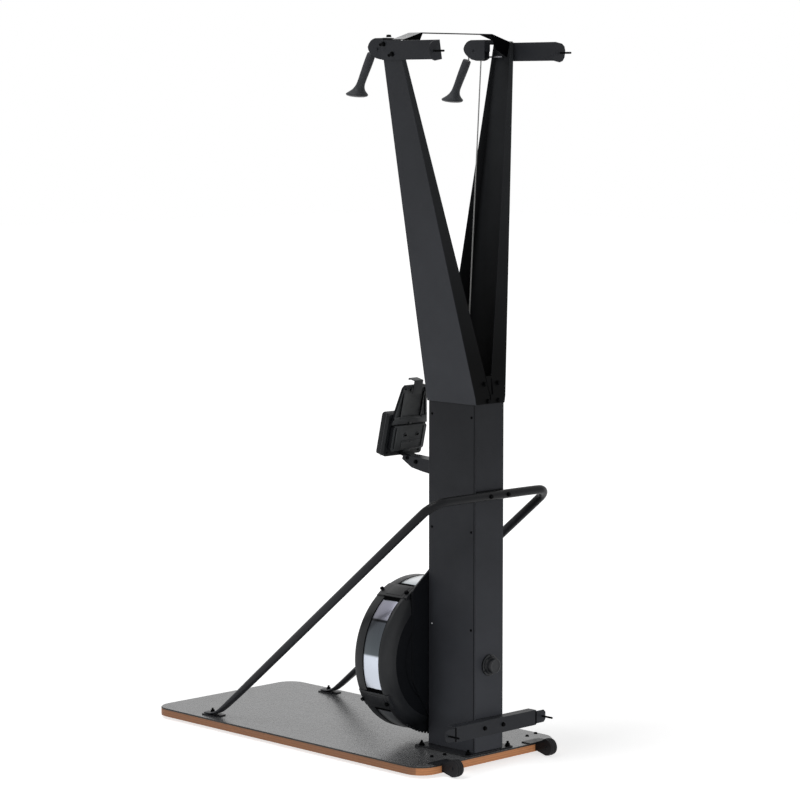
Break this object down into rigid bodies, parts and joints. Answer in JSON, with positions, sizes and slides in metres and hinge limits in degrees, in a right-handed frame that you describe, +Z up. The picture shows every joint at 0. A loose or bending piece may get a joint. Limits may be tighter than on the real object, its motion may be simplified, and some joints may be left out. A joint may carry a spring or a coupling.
{
  "type": "ski trainer",
  "caption": "Standing ski trainer: column on a floor board, spreading arms with pulleys and pull handles, fan drum, leaning brace and tilting monitor.",
  "frame": {"origin": "on the floor, under the middle of the outer box", "axes": "+Z up, +X to the right of the user, who stands at the -Y end and faces +Y; the wall side is +Y"},
  "size_m": [0.597, 1.29, 2.166],
  "materials": {
    "board_wood": "satin",
    "deck_surface": "fine grained",
    "foot_rubber": "matte",
    "frame_paint": "satin",
    "black_paint": "satin",
    "drum_plastic": "satin",
    "polished_band": "polished",
    "rotor_steel": "brushed",
    "bolt_black": "satin",
    "pulley_plastic": "satin",
    "cord_braid": "braided",
    "grip_rubber": "matte",
    "wheel_rubber": "matte",
    "monitor_plastic": "fine grained",
    "button_rubber": "matte",
    "screen_glass": "polished"
  },
  "bodies": {
    "frame_body": {"base_board": "board_wood", "deck_film": "deck_surface", "foot_pad_back_right": "foot_rubber", "foot_pad_back_left": "foot_rubber", "foot_pad_front_right": "foot_rubber", "foot_pad_front_left": "foot_rubber", "column_body": "frame_paint", "column_back_cover": "frame_paint", "arm_right": "frame_paint", "arm_left": "frame_paint", "top_bridge": "frame_paint", "standoff_right": "frame_paint", "standoff_left": "frame_paint", "wall_bracket": "frame_paint", "pulley_housing_right": "frame_paint", "pulley_housing_left": "frame_paint", "monitor_arm": "frame_paint", "base_plate": "black_paint", "column_cap": "black_paint", "brace_tube": "black_paint", "foot_plate_right": "black_paint", "foot_plate_left": "black_paint", "wheel_fork_right": "black_paint", "wheel_fork_left": "black_paint", "fan_back_cover": "drum_plastic", "fan_front_cover": "drum_plastic", "inlet_grille": "drum_plastic", "axle_cap": "drum_plastic", "fan_band": "polished_band", "shaft_bearing_front": "rotor_steel", "shaft_bearing_back": "rotor_steel", "monitor_pivot": "bolt_black", "wall_screw_upper_right": "bolt_black", "wall_screw_upper_left": "bolt_black", "wall_screw_lower_right": "bolt_black", "wall_screw_lower_left": "bolt_black", "drive_cord_right": "cord_braid", "drive_cord_left": "cord_braid"},
    "handle_right_body": {"handle_right": "grip_rubber", "cord_tail_right": "cord_braid"},
    "handle_left_body": {"handle_left": "grip_rubber", "cord_tail_left": "cord_braid"},
    "pulley_right_body": {"top_pulley_right": "pulley_plastic"},
    "pulley_left_body": {"top_pulley_left": "pulley_plastic"},
    "spool_right_body": {"cord_spool_right": "pulley_plastic"},
    "spool_left_body": {"cord_spool_left": "pulley_plastic"},
    "rotor_body": {"flywheel": "rotor_steel", "flywheel_shaft": "rotor_steel"},
    "damper_body": {"damper_disc": "drum_plastic"},
    "wheel_right_body": {"transport_wheel_right": "wheel_rubber"},
    "wheel_left_body": {"transport_wheel_left": "wheel_rubber"},
    "monitor_body": {"display_case": "monitor_plastic", "display_screen": "screen_glass", "display_back": "monitor_plastic", "phone_cradle": "monitor_plastic"},
    "clip_body": {"cradle_clip": "monitor_plastic"},
    "button_1_body": {"display_button_1": "button_rubber"},
    "button_2_body": {"display_button_2": "button_rubber"},
    "button_3_body": {"display_button_3": "button_rubber"}
  },
  "joints": [
    {"name": "handle_pull_right", "type": "slide", "parent": "frame_body", "child": "handle_right_body", "axis": [0, 0, -1], "range_m": [0, 1.2], "stiffness_N_per_m": 15, "springref_m": -0.6, "deforming": ["cord_tail_right"]},
    {"name": "handle_pull_left", "type": "slide", "parent": "frame_body", "child": "handle_left_body", "axis": [0, 0, -1], "range_m": [0, 1.2], "stiffness_N_per_m": 15, "springref_m": -0.6, "deforming": ["cord_tail_left"]},
    {"name": "top_pulley_spin_right", "type": "hinge", "parent": "frame_body", "child": "pulley_right_body", "pos_m": [0.20001, 0.30299, 2.119], "axis": [1, 0, 0], "range_deg": [0, 2580]},
    {"name": "top_pulley_spin_left", "type": "hinge", "parent": "frame_body", "child": "pulley_left_body", "pos_m": [-0.20001, 0.30299, 2.119], "axis": [1, 0, 0], "range_deg": [0, 2580]},
    {"name": "spool_spin_right", "type": "hinge", "parent": "frame_body", "child": "spool_right_body", "pos_m": [0, 0.4277, 0.299], "axis": [0, -1, 0], "range_deg": [0, 3400]},
    {"name": "spool_spin_left", "type": "hinge", "parent": "frame_body", "child": "spool_left_body", "pos_m": [0, 0.4437, 0.299], "axis": [0, 1, 0], "range_deg": [0, 3400]},
    {"name": "flywheel_spin", "type": "hinge", "parent": "frame_body", "child": "rotor_body", "pos_m": [0, 0.291, 0.299], "axis": [0, 1, 0], "continuous": true},
    {"name": "damper_turn", "type": "hinge", "parent": "frame_body", "child": "damper_body", "pos_m": [0, 0.228, 0.299], "axis": [0, -1, 0], "range_deg": [0, 30]},
    {"name": "transport_wheel_spin_right", "type": "hinge", "parent": "frame_body", "child": "wheel_right_body", "pos_m": [0.2005, 0.619, 0.028], "axis": [1, 0, 0], "continuous": true},
    {"name": "transport_wheel_spin_left", "type": "hinge", "parent": "frame_body", "child": "wheel_left_body", "pos_m": [-0.2005, 0.619, 0.028], "axis": [1, 0, 0], "continuous": true},
    {"name": "monitor_tilt", "type": "hinge", "parent": "frame_body", "child": "monitor_body", "pos_m": [0, 0.238, 0.893], "axis": [1, 0, 0], "range_deg": [-20, 20]},
    {"name": "cradle_clip_slide", "type": "slide", "parent": "monitor_body", "child": "clip_body", "axis": [0, 0.225, 0.9744], "range_m": [0, 0.02], "stiffness_N_per_m": 200, "springref_m": -0.01},
    {"name": "button_1_press", "type": "slide", "parent": "monitor_body", "child": "button_1_body", "axis": [0, 0.9744, -0.225], "range_m": [0, 0.002], "stiffness_N_per_m": 400, "springref_m": -0.001},
    {"name": "button_2_press", "type": "slide", "parent": "monitor_body", "child": "button_2_body", "axis": [0, 0.9744, -0.225], "range_m": [0, 0.002], "stiffness_N_per_m": 400, "springref_m": -0.001},
    {"name": "button_3_press", "type": "slide", "parent": "monitor_body", "child": "button_3_body", "axis": [0, 0.9744, -0.225], "range_m": [0, 0.002], "stiffness_N_per_m": 400, "springref_m": -0.001}
  ],
  "couplings": [
    {"joint": "top_pulley_spin_right", "follows": "handle_pull_right", "rad_per_m": 37.313},
    {"joint": "top_pulley_spin_left", "follows": "handle_pull_left", "rad_per_m": 37.313},
    {"joint": "spool_spin_right", "follows": "handle_pull_right", "rad_per_m": 49.261},
    {"joint": "spool_spin_left", "follows": "handle_pull_left", "rad_per_m": 49.261}
  ]
}
